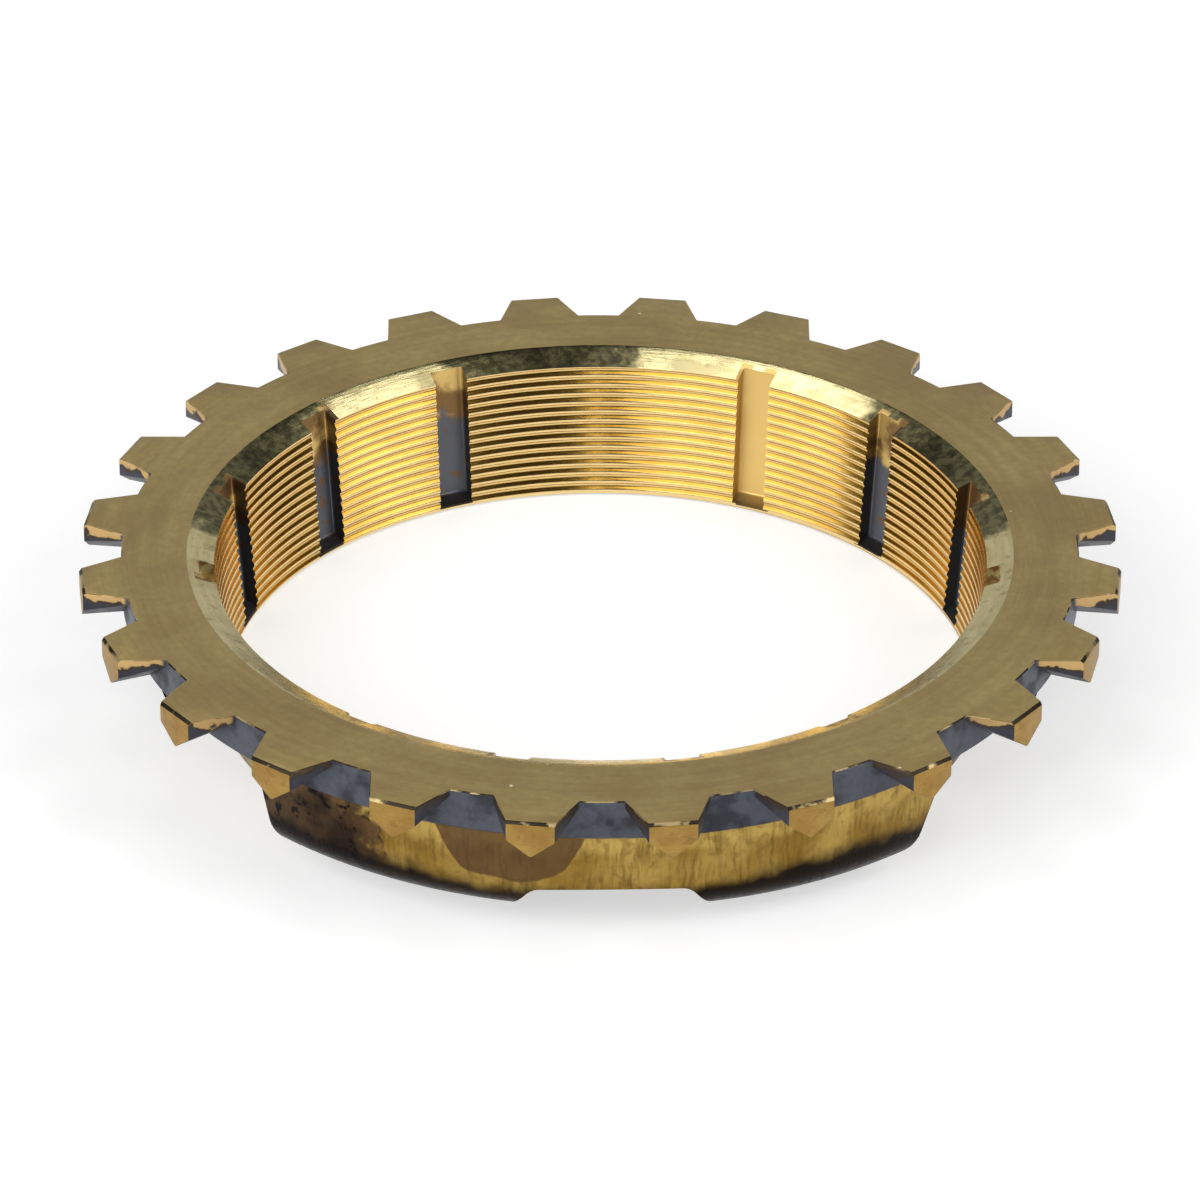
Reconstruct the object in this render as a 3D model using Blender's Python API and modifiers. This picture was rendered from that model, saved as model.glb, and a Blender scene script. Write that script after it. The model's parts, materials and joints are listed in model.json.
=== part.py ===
"""Synchronizer ring (baulk ring) of a manual gearbox, one turned and milled piece of brass.

The ring stands on the end of its collar, with its axis on Z and the toothed flange on top.
Under the flange runs a collar whose bore is a friction cone with fine grooves, crossed by oil
slots.  Outside, three pads stand on the collar, the thickest one at the front, with a slot for
a shifting key between each two, and each pad has a shallow notch in its lower edge.

The sizes below are in millimetres and degrees.  Depths are measured down from the top face.
"""

import math

import bmesh
import bpy
from mathutils import Matrix, Vector

MM = 0.001

# Overall height and the flange
TOTAL_HEIGHT = 18.3
FLANGE_THICKNESS = 5.0
FLANGE_FACE_WIDTH = 7.7

# Friction cone in the bore
CONE_MOUTH_RADIUS = 44.7
CONE_ANGLE = 4.5
LEAD_IN_WIDTH = 3.1
LEAD_IN_DEPTH = 1.3
GROOVE_PITCH = 1.18
GROOVE_DEPTH = 0.5
BORE_EDGE_CHAMFER = 0.3

# Dog teeth on the rim
TOOTH_COUNT = 24
TOOTH_LENGTH = 4.85
TOOTH_ROOT_WIDTH = 9.4
TOOTH_TIP_WIDTH = 5.45
TOOTH_RIDGE_DEPTH = 4.55
TOOTH_CHAMFER_ANGLE = 38.0

# Collar outside the cone
COLLAR_WALL = 1.6
COLLAR_EDGE_CHAMFER = 0.6

# Pads on the collar, with the key slots between them
PAD_COUNT = 3
PAD_SETBACK = 0.3
PAD_DRAFT = 1.3
PAD_STRAIGHT_DEPTH = 12.85
PAD_EDGE_RADIUS = 3.6
PAD_HEEL_DEPTH = 17.9
PAD_HEEL_WIDTH = 1.3
SIDE_PAD_SETBACK = 3.6
KEY_SLOT_WIDTH = 31.4

# Notch in the lower edge of each pad
NOTCH_FLOOR_DEPTH = 13.1
NOTCH_FLOOR_WIDTH = 19.1
NOTCH_FLOOR_SLOPE = 28.5
NOTCH_SIDE_SLOPE = 28.0
NOTCH_TURN = 1.2

# Oil slots along the cone
OIL_SLOTS_PER_PAD = 4
OIL_SLOT_WIDTH = 4.1
OIL_SLOT_DEPTH = 1.8
OIL_SLOT_END_DEPTH = 17.0
OIL_SLOT_END_SLOPE = 24.0
OIL_SLOT_TURN = -0.6

# Fineness of the round surfaces
TURNING_STEPS = 96
FILLET_STEPS = 5
SHARP_ANGLE = 25.0
MERGE_DISTANCE = 0.00001

# How far a cutting block runs past what it cuts, and how deep a joined block is sunk
CUT_MARGIN = 4.0
JOIN_DEPTH = 1.5
COLLAR_JOIN_DEPTH = 0.7

# The first key slot is at the back, and the middle of a pad is at the front
KEY_SLOT_DIRECTION = 90.0

LEAD_IN_RADIUS = CONE_MOUTH_RADIUS + LEAD_IN_WIDTH
ROOT_RADIUS = LEAD_IN_RADIUS + FLANGE_FACE_WIDTH
TIP_RADIUS = ROOT_RADIUS + TOOTH_LENGTH
PAD_TOP_RADIUS = ROOT_RADIUS - PAD_SETBACK
PAD_LOW_RADIUS = PAD_TOP_RADIUS - PAD_DRAFT
SIDE_PAD_RADIUS = ROOT_RADIUS - SIDE_PAD_SETBACK


def height(depth):
    """Height over the base of a point at this depth under the top face."""
    return TOTAL_HEIGHT - depth


def cone_radius(depth):
    """Radius of the cone's crests at this depth."""
    return CONE_MOUTH_RADIUS - (depth - LEAD_IN_DEPTH) * math.tan(math.radians(CONE_ANGLE))


def collar_radius(depth):
    """Outer radius of the thin collar, which follows the cone at one wall thickness."""
    return cone_radius(depth) + COLLAR_WALL


def make_collection(name):
    collection = bpy.data.collections.new(name)
    bpy.context.scene.collection.children.link(collection)
    return collection


def make_object(name, bm, collection):
    """Turn a bmesh, modelled in millimetres, into an object at its real size."""
    bmesh.ops.scale(bm, vec=Vector((MM, MM, MM)), verts=bm.verts)
    mesh = bpy.data.meshes.new(name)
    bm.to_mesh(mesh)
    bm.free()
    item = bpy.data.objects.new(name, mesh)
    collection.objects.link(item)
    return item


def make_helper(name, bm, collection):
    """An object that only shapes the ring and isn't part of it."""
    helper = make_object(name, bm, collection)
    helper.hide_render = True
    helper.display_type = "WIRE"
    return helper


def turn(item):
    """Turn an object's closed profile round the Z axis."""
    screw = item.modifiers.new("turned", "SCREW")
    screw.axis = "Z"
    screw.angle = math.tau
    screw.steps = TURNING_STEPS
    screw.render_steps = TURNING_STEPS
    screw.use_merge_vertices = True
    screw.merge_threshold = MERGE_DISTANCE
    screw.use_smooth_shade = False


def combine(item, other, operation):
    """Join another solid to an object, or cut it away."""
    boolean = item.modifiers.new(other.name, "BOOLEAN")
    boolean.operation = operation
    boolean.solver = "MANIFOLD"
    boolean.object = other


def profile_mesh(points):
    """A closed loop of edges through points of radius and depth, ready to be turned.

    It stands half a turning step off the X axis, so that the middles of the teeth and of the
    key slots fall between two edges of the turned surfaces.
    """
    bm = bmesh.new()
    corners = [bm.verts.new((radius, 0.0, height(depth))) for radius, depth in points]
    for start, end in zip(corners, corners[1:] + corners[:1]):
        bm.edges.new((start, end))
    rotate_about_axis(bm, corners, 180.0 / TURNING_STEPS)
    return bm


def add_block(bm, low, high):
    """Add a box between two corners and return its points."""
    size = Vector(high) - Vector(low)
    middle = (Vector(high) + Vector(low)) / 2
    placing = Matrix.Translation(middle) @ Matrix.Diagonal((*size, 1.0))
    return bmesh.ops.create_cube(bm, size=1.0, matrix=placing)["verts"]


def rotate_about_axis(bm, points, direction):
    """Swing points from the X axis to a direction, in degrees, about the ring's axis."""
    turning = Matrix.Rotation(math.radians(direction), 3, "Z")
    bmesh.ops.rotate(bm, cent=Vector(), matrix=turning, verts=points)


def key_slot_directions():
    """Directions of the key slots' middles, starting at the back."""
    return [KEY_SLOT_DIRECTION + index * 360.0 / PAD_COUNT for index in range(PAD_COUNT)]


def pad_directions():
    """Directions of the pads' middles."""
    return [direction + 180.0 / PAD_COUNT for direction in key_slot_directions()]


def oil_slot_directions():
    """The slots are evenly spaced, with none behind a key slot, where the collar is thin."""
    spacing = 360.0 / PAD_COUNT / (OIL_SLOTS_PER_PAD + 1)
    return [
        direction + index * spacing + OIL_SLOT_TURN
        for direction in key_slot_directions()
        for index in range(1, OIL_SLOTS_PER_PAD + 1)
    ]


def groove_profile():
    """Crests and roots of the grooved cone, from the base of the bore up to its mouth."""
    length = TOTAL_HEIGHT - LEAD_IN_DEPTH - BORE_EDGE_CHAMFER
    count = int(length / GROOVE_PITCH)
    chamfer_depth = TOTAL_HEIGHT - BORE_EDGE_CHAMFER
    points = [
        (cone_radius(chamfer_depth) + BORE_EDGE_CHAMFER, TOTAL_HEIGHT),
        (cone_radius(chamfer_depth), chamfer_depth),
    ]
    for index in reversed(range(count)):
        crest = LEAD_IN_DEPTH + (index + 1) * GROOVE_PITCH
        root = crest - GROOVE_PITCH / 2
        points.append((cone_radius(crest), crest))
        points.append((cone_radius(root) + GROOVE_DEPTH, root))
    points.append((CONE_MOUTH_RADIUS, LEAD_IN_DEPTH))
    return points


def make_turned_ring(collection):
    """The flange, the collar and the grooved cone, as one turned body."""
    chamfer_depth = TOTAL_HEIGHT - COLLAR_EDGE_CHAMFER
    outside = [
        (ROOT_RADIUS, 0.0),
        (ROOT_RADIUS, FLANGE_THICKNESS),
        (collar_radius(FLANGE_THICKNESS), FLANGE_THICKNESS),
        (collar_radius(chamfer_depth), chamfer_depth),
        (collar_radius(chamfer_depth) - COLLAR_EDGE_CHAMFER, TOTAL_HEIGHT),
    ]
    bore = groove_profile() + [(LEAD_IN_RADIUS, 0.0)]
    ring = make_object("synchronizer_ring", profile_mesh(outside + bore), collection)
    turn(ring)
    return ring


def make_key_slot_cutter(collection):
    """A straight block for each key slot, which parts the pads."""
    bm = bmesh.new()
    half_width = KEY_SLOT_WIDTH / 2
    for direction in key_slot_directions():
        block = add_block(
            bm,
            (cone_radius(TOTAL_HEIGHT) - CUT_MARGIN, -half_width, height(TOTAL_HEIGHT)),
            (TIP_RADIUS, half_width, height(0.0)),
        )
        rotate_about_axis(bm, block, direction)
    return make_helper("key_slots", bm, collection)


def make_notch_cutter(collection):
    """A block with sloping sides for each pad's notch, whose top falls towards the cone."""
    bm = bmesh.new()
    base_depth = PAD_HEEL_DEPTH + CUT_MARGIN
    side_slope = math.tan(math.radians(NOTCH_SIDE_SLOPE))
    floor_slope = math.tan(math.radians(NOTCH_FLOOR_SLOPE))
    half_floor = NOTCH_FLOOR_WIDTH / 2
    for direction in pad_directions():
        block = add_block(
            bm,
            (collar_radius(TOTAL_HEIGHT), -half_floor, height(base_depth)),
            (PAD_TOP_RADIUS + CUT_MARGIN, half_floor, height(NOTCH_FLOOR_DEPTH)),
        )
        for point in block:
            if point.co.z > height(TOTAL_HEIGHT):
                point.co.z -= (PAD_LOW_RADIUS - point.co.x) * floor_slope
            drop = height(NOTCH_FLOOR_DEPTH) - point.co.z
            point.co.y = math.copysign(half_floor + drop * side_slope, point.co.y)
        rotate_about_axis(bm, block, direction + NOTCH_TURN)
    return make_helper("pad_notches", bm, collection)


def make_front_block(name, collection):
    """A block round the front pad, which ends inside the key slots on both sides of it."""
    bm = bmesh.new()
    reach = TIP_RADIUS + CUT_MARGIN
    add_block(
        bm,
        (-reach, -reach, height(TOTAL_HEIGHT + CUT_MARGIN)),
        (reach, -cone_radius(TOTAL_HEIGHT) / 2, height(-CUT_MARGIN)),
    )
    return make_helper(name, bm, collection)


def pad_outline(top_radius, low_radius):
    """Profile of a band with a rounded lower edge and a heel that slopes to the collar."""
    joint_depth = FLANGE_THICKNESS - JOIN_DEPTH
    outline = [(top_radius, joint_depth), (top_radius, FLANGE_THICKNESS)]
    for step in range(FILLET_STEPS + 1):
        angle = math.pi / 2 * step / FILLET_STEPS
        radius = low_radius - PAD_EDGE_RADIUS * (1.0 - math.cos(angle))
        depth = PAD_STRAIGHT_DEPTH + PAD_EDGE_RADIUS * math.sin(angle)
        outline.append((radius, depth))
    outline.append((collar_radius(PAD_HEEL_DEPTH) + PAD_HEEL_WIDTH, PAD_HEEL_DEPTH))
    outline.append((collar_radius(PAD_HEEL_DEPTH) - COLLAR_JOIN_DEPTH, PAD_HEEL_DEPTH))
    outline.append((collar_radius(joint_depth) - COLLAR_JOIN_DEPTH, joint_depth))
    return outline


def make_pads(collection):
    """Two turned bands, the thicker one for the front pad only, parted and notched."""
    key_slots = make_key_slot_cutter(collection)
    side_outline = pad_outline(SIDE_PAD_RADIUS, SIDE_PAD_RADIUS)
    side_pads = make_helper("side_pads", profile_mesh(side_outline), collection)
    front_outline = pad_outline(PAD_TOP_RADIUS, PAD_LOW_RADIUS)
    front_pad = make_helper("front_pad", profile_mesh(front_outline), collection)
    for band, operation in ((side_pads, "DIFFERENCE"), (front_pad, "INTERSECT")):
        turn(band)
        combine(band, make_front_block(band.name + "_block", collection), operation)
        combine(band, key_slots, "DIFFERENCE")
    combine(side_pads, front_pad, "UNION")
    combine(side_pads, make_notch_cutter(collection), "DIFFERENCE")
    return side_pads


def cut_by_plane(bm, point, normal):
    """Cut away what lies on the side that the normal points to, and close the cut."""
    geometry = bm.verts[:] + bm.edges[:] + bm.faces[:]
    cut = bmesh.ops.bisect_plane(
        bm, geom=geometry, plane_co=point, plane_no=normal, clear_outer=True
    )
    edges = [item for item in cut["geom_cut"] if isinstance(item, bmesh.types.BMEdge)]
    bmesh.ops.holes_fill(bm, edges=edges, sides=0)


def make_tooth():
    """One tooth on the X axis: a tapered block whose underside is a pointed roof."""
    bm = bmesh.new()
    root = ROOT_RADIUS - JOIN_DEPTH
    taper = (TOOTH_ROOT_WIDTH - TOOTH_TIP_WIDTH) / 2 / TOOTH_LENGTH
    half_tip = TOOTH_TIP_WIDTH / 2
    half_root = half_tip + taper * (TIP_RADIUS - root)
    add_block(
        bm,
        (root, -half_tip, height(TOOTH_RIDGE_DEPTH + CUT_MARGIN)),
        (TIP_RADIUS, half_tip, height(0.0)),
    )
    for point in bm.verts:
        if point.co.x < ROOT_RADIUS:
            point.co.y = math.copysign(half_root, point.co.y)
    slope = math.radians(TOOTH_CHAMFER_ANGLE)
    ridge = Vector((TIP_RADIUS, 0.0, height(TOOTH_RIDGE_DEPTH)))
    for side in (-1.0, 1.0):
        normal = Vector((0.0, side * math.sin(slope), -math.cos(slope)))
        cut_by_plane(bm, ridge, normal)
    return bm


def make_teeth(collection):
    """All the teeth, with a space between two teeth at the front."""
    bm = bmesh.new()
    pattern = bpy.data.meshes.new("tooth_pattern")
    tooth = make_tooth()
    tooth.to_mesh(pattern)
    tooth.free()
    spacing = 360.0 / TOOTH_COUNT
    for index in range(TOOTH_COUNT):
        known = set(bm.verts)
        bm.from_mesh(pattern)
        added = [point for point in bm.verts if point not in known]
        rotate_about_axis(bm, added, KEY_SLOT_DIRECTION + (index + 0.5) * spacing)
    bpy.data.meshes.remove(pattern)
    return make_helper("dog_teeth", bm, collection)


def make_oil_slot_cutter(collection):
    """A block for each oil slot, sloped like the cone, which runs out over the lower end."""
    bm = bmesh.new()
    middle_depth = TOTAL_HEIGHT / 2
    floor_radius = cone_radius(middle_depth) + OIL_SLOT_DEPTH
    half_length = TOTAL_HEIGHT / 2 + CUT_MARGIN
    half_width = OIL_SLOT_WIDTH / 2
    end_slope = math.tan(math.radians(OIL_SLOT_END_SLOPE))
    pivot = Vector((floor_radius, 0.0, height(middle_depth)))
    lean = Matrix.Rotation(math.radians(CONE_ANGLE), 3, "Y")
    for direction in oil_slot_directions():
        block = add_block(
            bm,
            (floor_radius - OIL_SLOT_DEPTH - CUT_MARGIN, -half_width, pivot.z - half_length),
            (floor_radius, half_width, pivot.z + half_length),
        )
        for point in block:
            if point.co.z < pivot.z:
                point.co.z = height(OIL_SLOT_END_DEPTH) - (floor_radius - point.co.x) * end_slope
        bmesh.ops.rotate(bm, cent=pivot, matrix=lean, verts=block)
        rotate_about_axis(bm, block, direction)
    return make_helper("oil_slots", bm, collection)


def make_brass():
    """Dull machined brass."""
    brass = bpy.data.materials.new("brass")
    brass.use_nodes = True
    shader = brass.node_tree.nodes["Principled BSDF"]
    shader.inputs["Base Color"].default_value = (0.42, 0.31, 0.11, 1.0)
    shader.inputs["Metallic"].default_value = 1.0
    shader.inputs["Roughness"].default_value = 0.42
    return brass


def settle(item):
    """Apply an object's modifiers, then shade it smooth between its sharp edges."""
    view = bpy.context.evaluated_depsgraph_get()
    finished = bpy.data.meshes.new_from_object(item.evaluated_get(view))
    item.modifiers.clear()
    item.data = finished
    finished.shade_smooth()
    finished.set_sharp_from_angle(angle=math.radians(SHARP_ANGLE))


def main():
    for item in list(bpy.data.objects):
        bpy.data.objects.remove(item)
    ring_collection = make_collection("synchronizer_ring")
    helper_collection = make_collection("cutters")
    ring = make_turned_ring(ring_collection)
    combine(ring, make_pads(helper_collection), "UNION")
    combine(ring, make_teeth(helper_collection), "UNION")
    combine(ring, make_oil_slot_cutter(helper_collection), "DIFFERENCE")
    settle(ring)
    ring.data.materials.append(make_brass())


main()
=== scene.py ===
"""Dresses the synchronizer ring of a manual gearbox and sets up the studio it is shown in.

The ring is modelled again over its plain solid, with a true helical thread in the friction
cone, softened edges and a finish for each kind of surface.  Shapes are worked out in
millimetres, with heights measured up from the end of the collar, and are brought to metres
at the end.
"""

import json
import logging
import math
from collections.abc import Callable, Iterable
from dataclasses import dataclass, field
from enum import Enum
from typing import NamedTuple

import bmesh
import bpy
from mathutils import Matrix, Vector

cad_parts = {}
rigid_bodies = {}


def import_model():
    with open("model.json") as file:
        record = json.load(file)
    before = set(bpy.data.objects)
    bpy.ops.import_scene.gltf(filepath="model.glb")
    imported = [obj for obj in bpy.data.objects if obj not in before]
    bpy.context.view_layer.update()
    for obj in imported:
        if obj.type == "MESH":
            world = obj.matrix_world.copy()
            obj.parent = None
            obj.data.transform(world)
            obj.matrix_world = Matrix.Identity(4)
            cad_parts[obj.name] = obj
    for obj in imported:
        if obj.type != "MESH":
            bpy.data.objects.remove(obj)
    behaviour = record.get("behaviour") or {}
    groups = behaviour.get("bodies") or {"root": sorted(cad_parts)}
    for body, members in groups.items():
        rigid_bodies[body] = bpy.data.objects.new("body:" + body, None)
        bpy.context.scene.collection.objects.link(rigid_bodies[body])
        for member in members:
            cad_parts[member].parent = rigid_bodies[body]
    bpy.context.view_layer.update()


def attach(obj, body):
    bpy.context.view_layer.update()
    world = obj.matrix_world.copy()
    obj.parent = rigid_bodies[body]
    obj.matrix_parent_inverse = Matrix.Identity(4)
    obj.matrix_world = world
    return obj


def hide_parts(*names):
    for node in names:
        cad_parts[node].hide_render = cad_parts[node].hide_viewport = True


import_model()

log = logging.getLogger("synchronizer_ring")

MM = 0.001
BACK = 90.0
FRONT = 270.0

Colour = tuple[float, float, float]
Input = bpy.types.NodeSocket | float | tuple


class Operation(Enum):
    """What a second solid does to the first."""

    JOIN = "UNION"
    CUT = "DIFFERENCE"


class Surface(Enum):
    """The kinds of surface that have a finish of their own."""

    FACE = 0
    RIM = 1
    TIP = 2
    GAP = 3
    BAND = 4
    CONE = 5
    SLOT = 6
    PAD = 7
    COLLAR = 8


# ---------------------------------------------------------------- workbench


def deselect_all() -> None:
    """Leave nothing selected, so that an operator acts on new work only."""
    for item in bpy.context.view_layer.objects:
        item.select_set(False)


def take(item: bpy.types.Object) -> None:
    """Make one object the only selected and the active one.

    Args:
        item: The object to work on.
    """
    deselect_all()
    item.select_set(True)
    bpy.context.view_layer.objects.active = item


def start_editing(item: bpy.types.Object) -> None:
    """Open an object's mesh for editing, with nothing selected.

    Args:
        item: The object to edit.
    """
    take(item)
    bpy.ops.object.mode_set(mode="EDIT")
    bpy.ops.mesh.select_mode(type="VERT")
    bpy.ops.mesh.select_all(action="DESELECT")


def stop_editing() -> None:
    """Go back to object mode."""
    bpy.ops.object.mode_set(mode="OBJECT")


def pick_vertices(item: bpy.types.Object, wanted: Callable[[Vector], bool]) -> None:
    """Select the vertices of the mesh being edited whose places pass a test.

    Args:
        item: The object being edited.
        wanted: The test, given a vertex's place.
    """
    bpy.ops.mesh.select_mode(type="VERT")
    mesh = bmesh.from_edit_mesh(item.data)
    for vertex in mesh.verts:
        vertex.select_set(wanted(vertex.co))
    mesh.select_flush(True)
    bmesh.update_edit_mesh(item.data)


def pick_edges(item: bpy.types.Object, wanted: Callable[[Vector, Vector], bool]) -> None:
    """Select the edges of the mesh being edited whose two ends pass a test.

    Args:
        item: The object being edited.
        wanted: The test, given the places of an edge's two ends.
    """
    bpy.ops.mesh.select_mode(type="EDGE")
    mesh = bmesh.from_edit_mesh(item.data)
    for edge in mesh.edges:
        edge.select_set(wanted(edge.verts[0].co, edge.verts[1].co))
    bmesh.update_edit_mesh(item.data)


def close_mesh(item: bpy.types.Object, merge: float = 0.001) -> None:
    """Merge doubled vertices and turn all faces of a closed mesh outwards.

    Args:
        item: The object to mend.
        merge: How close two vertices lie to be one, in millimetres.
    """
    start_editing(item)
    bpy.ops.mesh.select_all(action="SELECT")
    bpy.ops.mesh.remove_doubles(threshold=merge)
    bpy.ops.mesh.normals_make_consistent(inside=False)
    stop_editing()


def draw_outline(name: str, points: list[tuple[float, float]], closed: bool) -> bpy.types.Object:
    """Draw a line of edges in the XZ plane, one extrusion after another.

    Args:
        name: The new object's name.
        points: Radius and height of each point, in millimetres.
        closed: Whether the last point is joined to the first.

    Returns:
        The object that holds the outline.
    """
    deselect_all()
    bpy.ops.mesh.primitive_plane_add(size=1.0)
    item = bpy.context.active_object
    item.name = name
    start_editing(item)
    bpy.ops.mesh.select_all(action="SELECT")
    bpy.ops.mesh.merge(type="CENTER")
    bpy.ops.transform.translate(value=(points[0][0], 0.0, points[0][1]))
    for start, end in zip(points, points[1:]):
        step = (end[0] - start[0], 0.0, end[1] - start[1])
        bpy.ops.mesh.extrude_vertices_move(TRANSFORM_OT_translate={"value": step})
    if closed:
        ends = [Vector((radius, 0.0, height)) for radius, height in (points[0], points[-1])]
        pick_vertices(item, lambda place: min((place - end).length for end in ends) < 1e-4)
        bpy.ops.mesh.edge_face_add()
    stop_editing()
    return item


def spin_outline(item: bpy.types.Object, steps: int, start: float, sweep: float) -> None:
    """Spin a drawn outline about the ring's axis.

    Args:
        item: The object that holds the outline.
        steps: How many steps the sweep takes.
        start: Direction in which the sweep starts, in degrees from the X axis.
        sweep: Angle of the sweep, in degrees. A full turn closes on itself.
    """
    item.rotation_euler.z = math.radians(start)
    settle(item)
    start_editing(item)
    bpy.ops.mesh.select_all(action="SELECT")
    bpy.ops.mesh.spin(
        steps=steps, angle=math.radians(sweep), center=(0.0, 0.0, 0.0), axis=(0.0, 0.0, -1.0)
    )
    stop_editing()


def settle(item: bpy.types.Object) -> None:
    """Put an object's place, turn and scale into its mesh.

    Args:
        item: The object to settle.
    """
    take(item)
    bpy.ops.object.transform_apply(location=True, rotation=True, scale=True)


def combine(item: bpy.types.Object, other: bpy.types.Object, operation: Operation) -> None:
    """Join a second closed solid to the first or cut it away, and use the second one up.

    Args:
        item: The solid that is changed.
        other: The solid that is joined or cut away.
        operation: Which of the two is done.
    """
    take(item)
    boolean = item.modifiers.new("boolean", "BOOLEAN")
    boolean.operation = operation.value
    boolean.solver = "MANIFOLD"
    boolean.object = other
    bpy.ops.object.modifier_apply(modifier=boolean.name)
    bpy.data.objects.remove(other)


def join_pieces(name: str, items: list[bpy.types.Object]) -> bpy.types.Object:
    """Put the meshes of several objects into one.

    Args:
        name: The joined object's name.
        items: The objects to join, which are used up.

    Returns:
        The joined object.
    """
    take(items[0])
    for item in items:
        item.select_set(True)
    bpy.ops.object.join()
    items[0].name = name
    return items[0]


def turned_copies(item: bpy.types.Object, directions: Iterable[float]) -> bpy.types.Object:
    """Copy a piece that lies on the X axis to each direction, and join the copies.

    Args:
        item: The piece to copy, which is used up.
        directions: Directions of the copies, in degrees from the X axis.

    Returns:
        One object that holds all the copies.
    """
    copies = []
    for direction in directions:
        copy = item.copy()
        copy.data = item.data.copy()
        bpy.context.collection.objects.link(copy)
        copy.rotation_euler.z = math.radians(direction)
        settle(copy)
        copies.append(copy)
    name = item.name
    bpy.data.objects.remove(item)
    return join_pieces(name, copies)


def add_block(
    name: str, low: tuple[float, float, float], high: tuple[float, float, float]
) -> bpy.types.Object:
    """Add a block between two corners, as the start of a shaped piece.

    Args:
        name: The new object's name.
        low: The lowest corner, in millimetres.
        high: The highest corner, in millimetres.

    Returns:
        The new block.
    """
    deselect_all()
    middle = [(a + b) / 2 for a, b in zip(low, high)]
    size = [b - a for a, b in zip(low, high)]
    bpy.ops.mesh.primitive_cube_add(size=1.0, location=middle, scale=size)
    item = bpy.context.active_object
    item.name = name
    settle(item)
    return item


def slice_off(item: bpy.types.Object, point: tuple, normal: tuple) -> None:
    """Cut away the side of a closed mesh that a normal points to, and close the cut.

    Args:
        item: The object to cut.
        point: A point on the cutting plane.
        normal: The plane's normal.
    """
    start_editing(item)
    bpy.ops.mesh.select_all(action="SELECT")
    bpy.ops.mesh.bisect(plane_co=point, plane_no=normal, use_fill=True, clear_outer=True)
    stop_editing()


def move_vertices(
    item: bpy.types.Object, wanted: Callable[[Vector], bool], step: tuple[float, float, float]
) -> None:
    """Move some vertices of a piece.

    Args:
        item: The object to shape.
        wanted: The test that picks the vertices, given a vertex's place.
        step: How far they move, in millimetres.
    """
    start_editing(item)
    pick_vertices(item, wanted)
    bpy.ops.transform.translate(value=step)
    stop_editing()


def soften_edges(
    item: bpy.types.Object,
    wanted: Callable[[Vector, Vector], bool],
    width: float,
    segments: int = 2,
) -> None:
    """Bevel some edges of a piece.

    Args:
        item: The object to soften.
        wanted: The test that picks the edges, given the places of an edge's two ends.
        width: Width of the bevel, in millimetres.
        segments: How many facets round the bevel has.
    """
    start_editing(item)
    pick_edges(item, wanted)
    bpy.ops.mesh.bevel(offset=width, segments=segments, affect="EDGES", clamp_overlap=True)
    stop_editing()


# ---------------------------------------------------------------- shapes


@dataclass(frozen=True)
class RingSizes:
    """Sizes that more than one part of the ring needs, in millimetres and degrees."""

    height: float = 18.3
    flange_thickness: float = 5.0
    root_radius: float = 55.5
    tip_radius: float = 60.35
    mouth_radius: float = 44.7
    lead_in_radius: float = 47.8
    lead_in_depth: float = 1.3
    cone_angle: float = 4.5
    groove_depth: float = 0.5
    collar_wall: float = 1.6
    pad_count: int = 3
    slot_width: float = 4.1
    slot_depth: float = 1.8
    slot_end_depth: float = 17.0
    slots_per_pad: int = 4
    slot_turn: float = -0.6
    pitch: float = 1.18
    groove_at_back: float = 1.78
    sink: float = 1.5

    def level(self, depth: float) -> float:
        """Height over the collar's end of a point at this depth under the toothed face."""
        return self.height - depth

    def cone_radius(self, depth: float) -> float:
        """Radius of the cone's crests at this depth under the toothed face."""
        return self.mouth_radius - (depth - self.lead_in_depth) * self.taper

    def collar_radius(self, depth: float) -> float:
        """Outer radius of the thin collar at this depth."""
        return self.cone_radius(depth) + self.collar_wall

    @property
    def taper(self) -> float:
        """How much the cone narrows for each millimetre of depth."""
        return math.tan(math.radians(self.cone_angle))

    @property
    def key_slots(self) -> list[float]:
        """Directions of the shifting key slots, starting at the back."""
        return [BACK + index * 360.0 / self.pad_count for index in range(self.pad_count)]

    @property
    def pads(self) -> list[float]:
        """Directions of the pads, half-way between the key slots."""
        return [direction + 180.0 / self.pad_count for direction in self.key_slots]

    @property
    def oil_slots(self) -> list[float]:
        """Directions of the oil slots."""
        spacing = 360.0 / self.pad_count / (self.slots_per_pad + 1)
        return [
            direction + index * spacing + self.slot_turn
            for direction in self.key_slots
            for index in range(1, self.slots_per_pad + 1)
        ]


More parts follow.
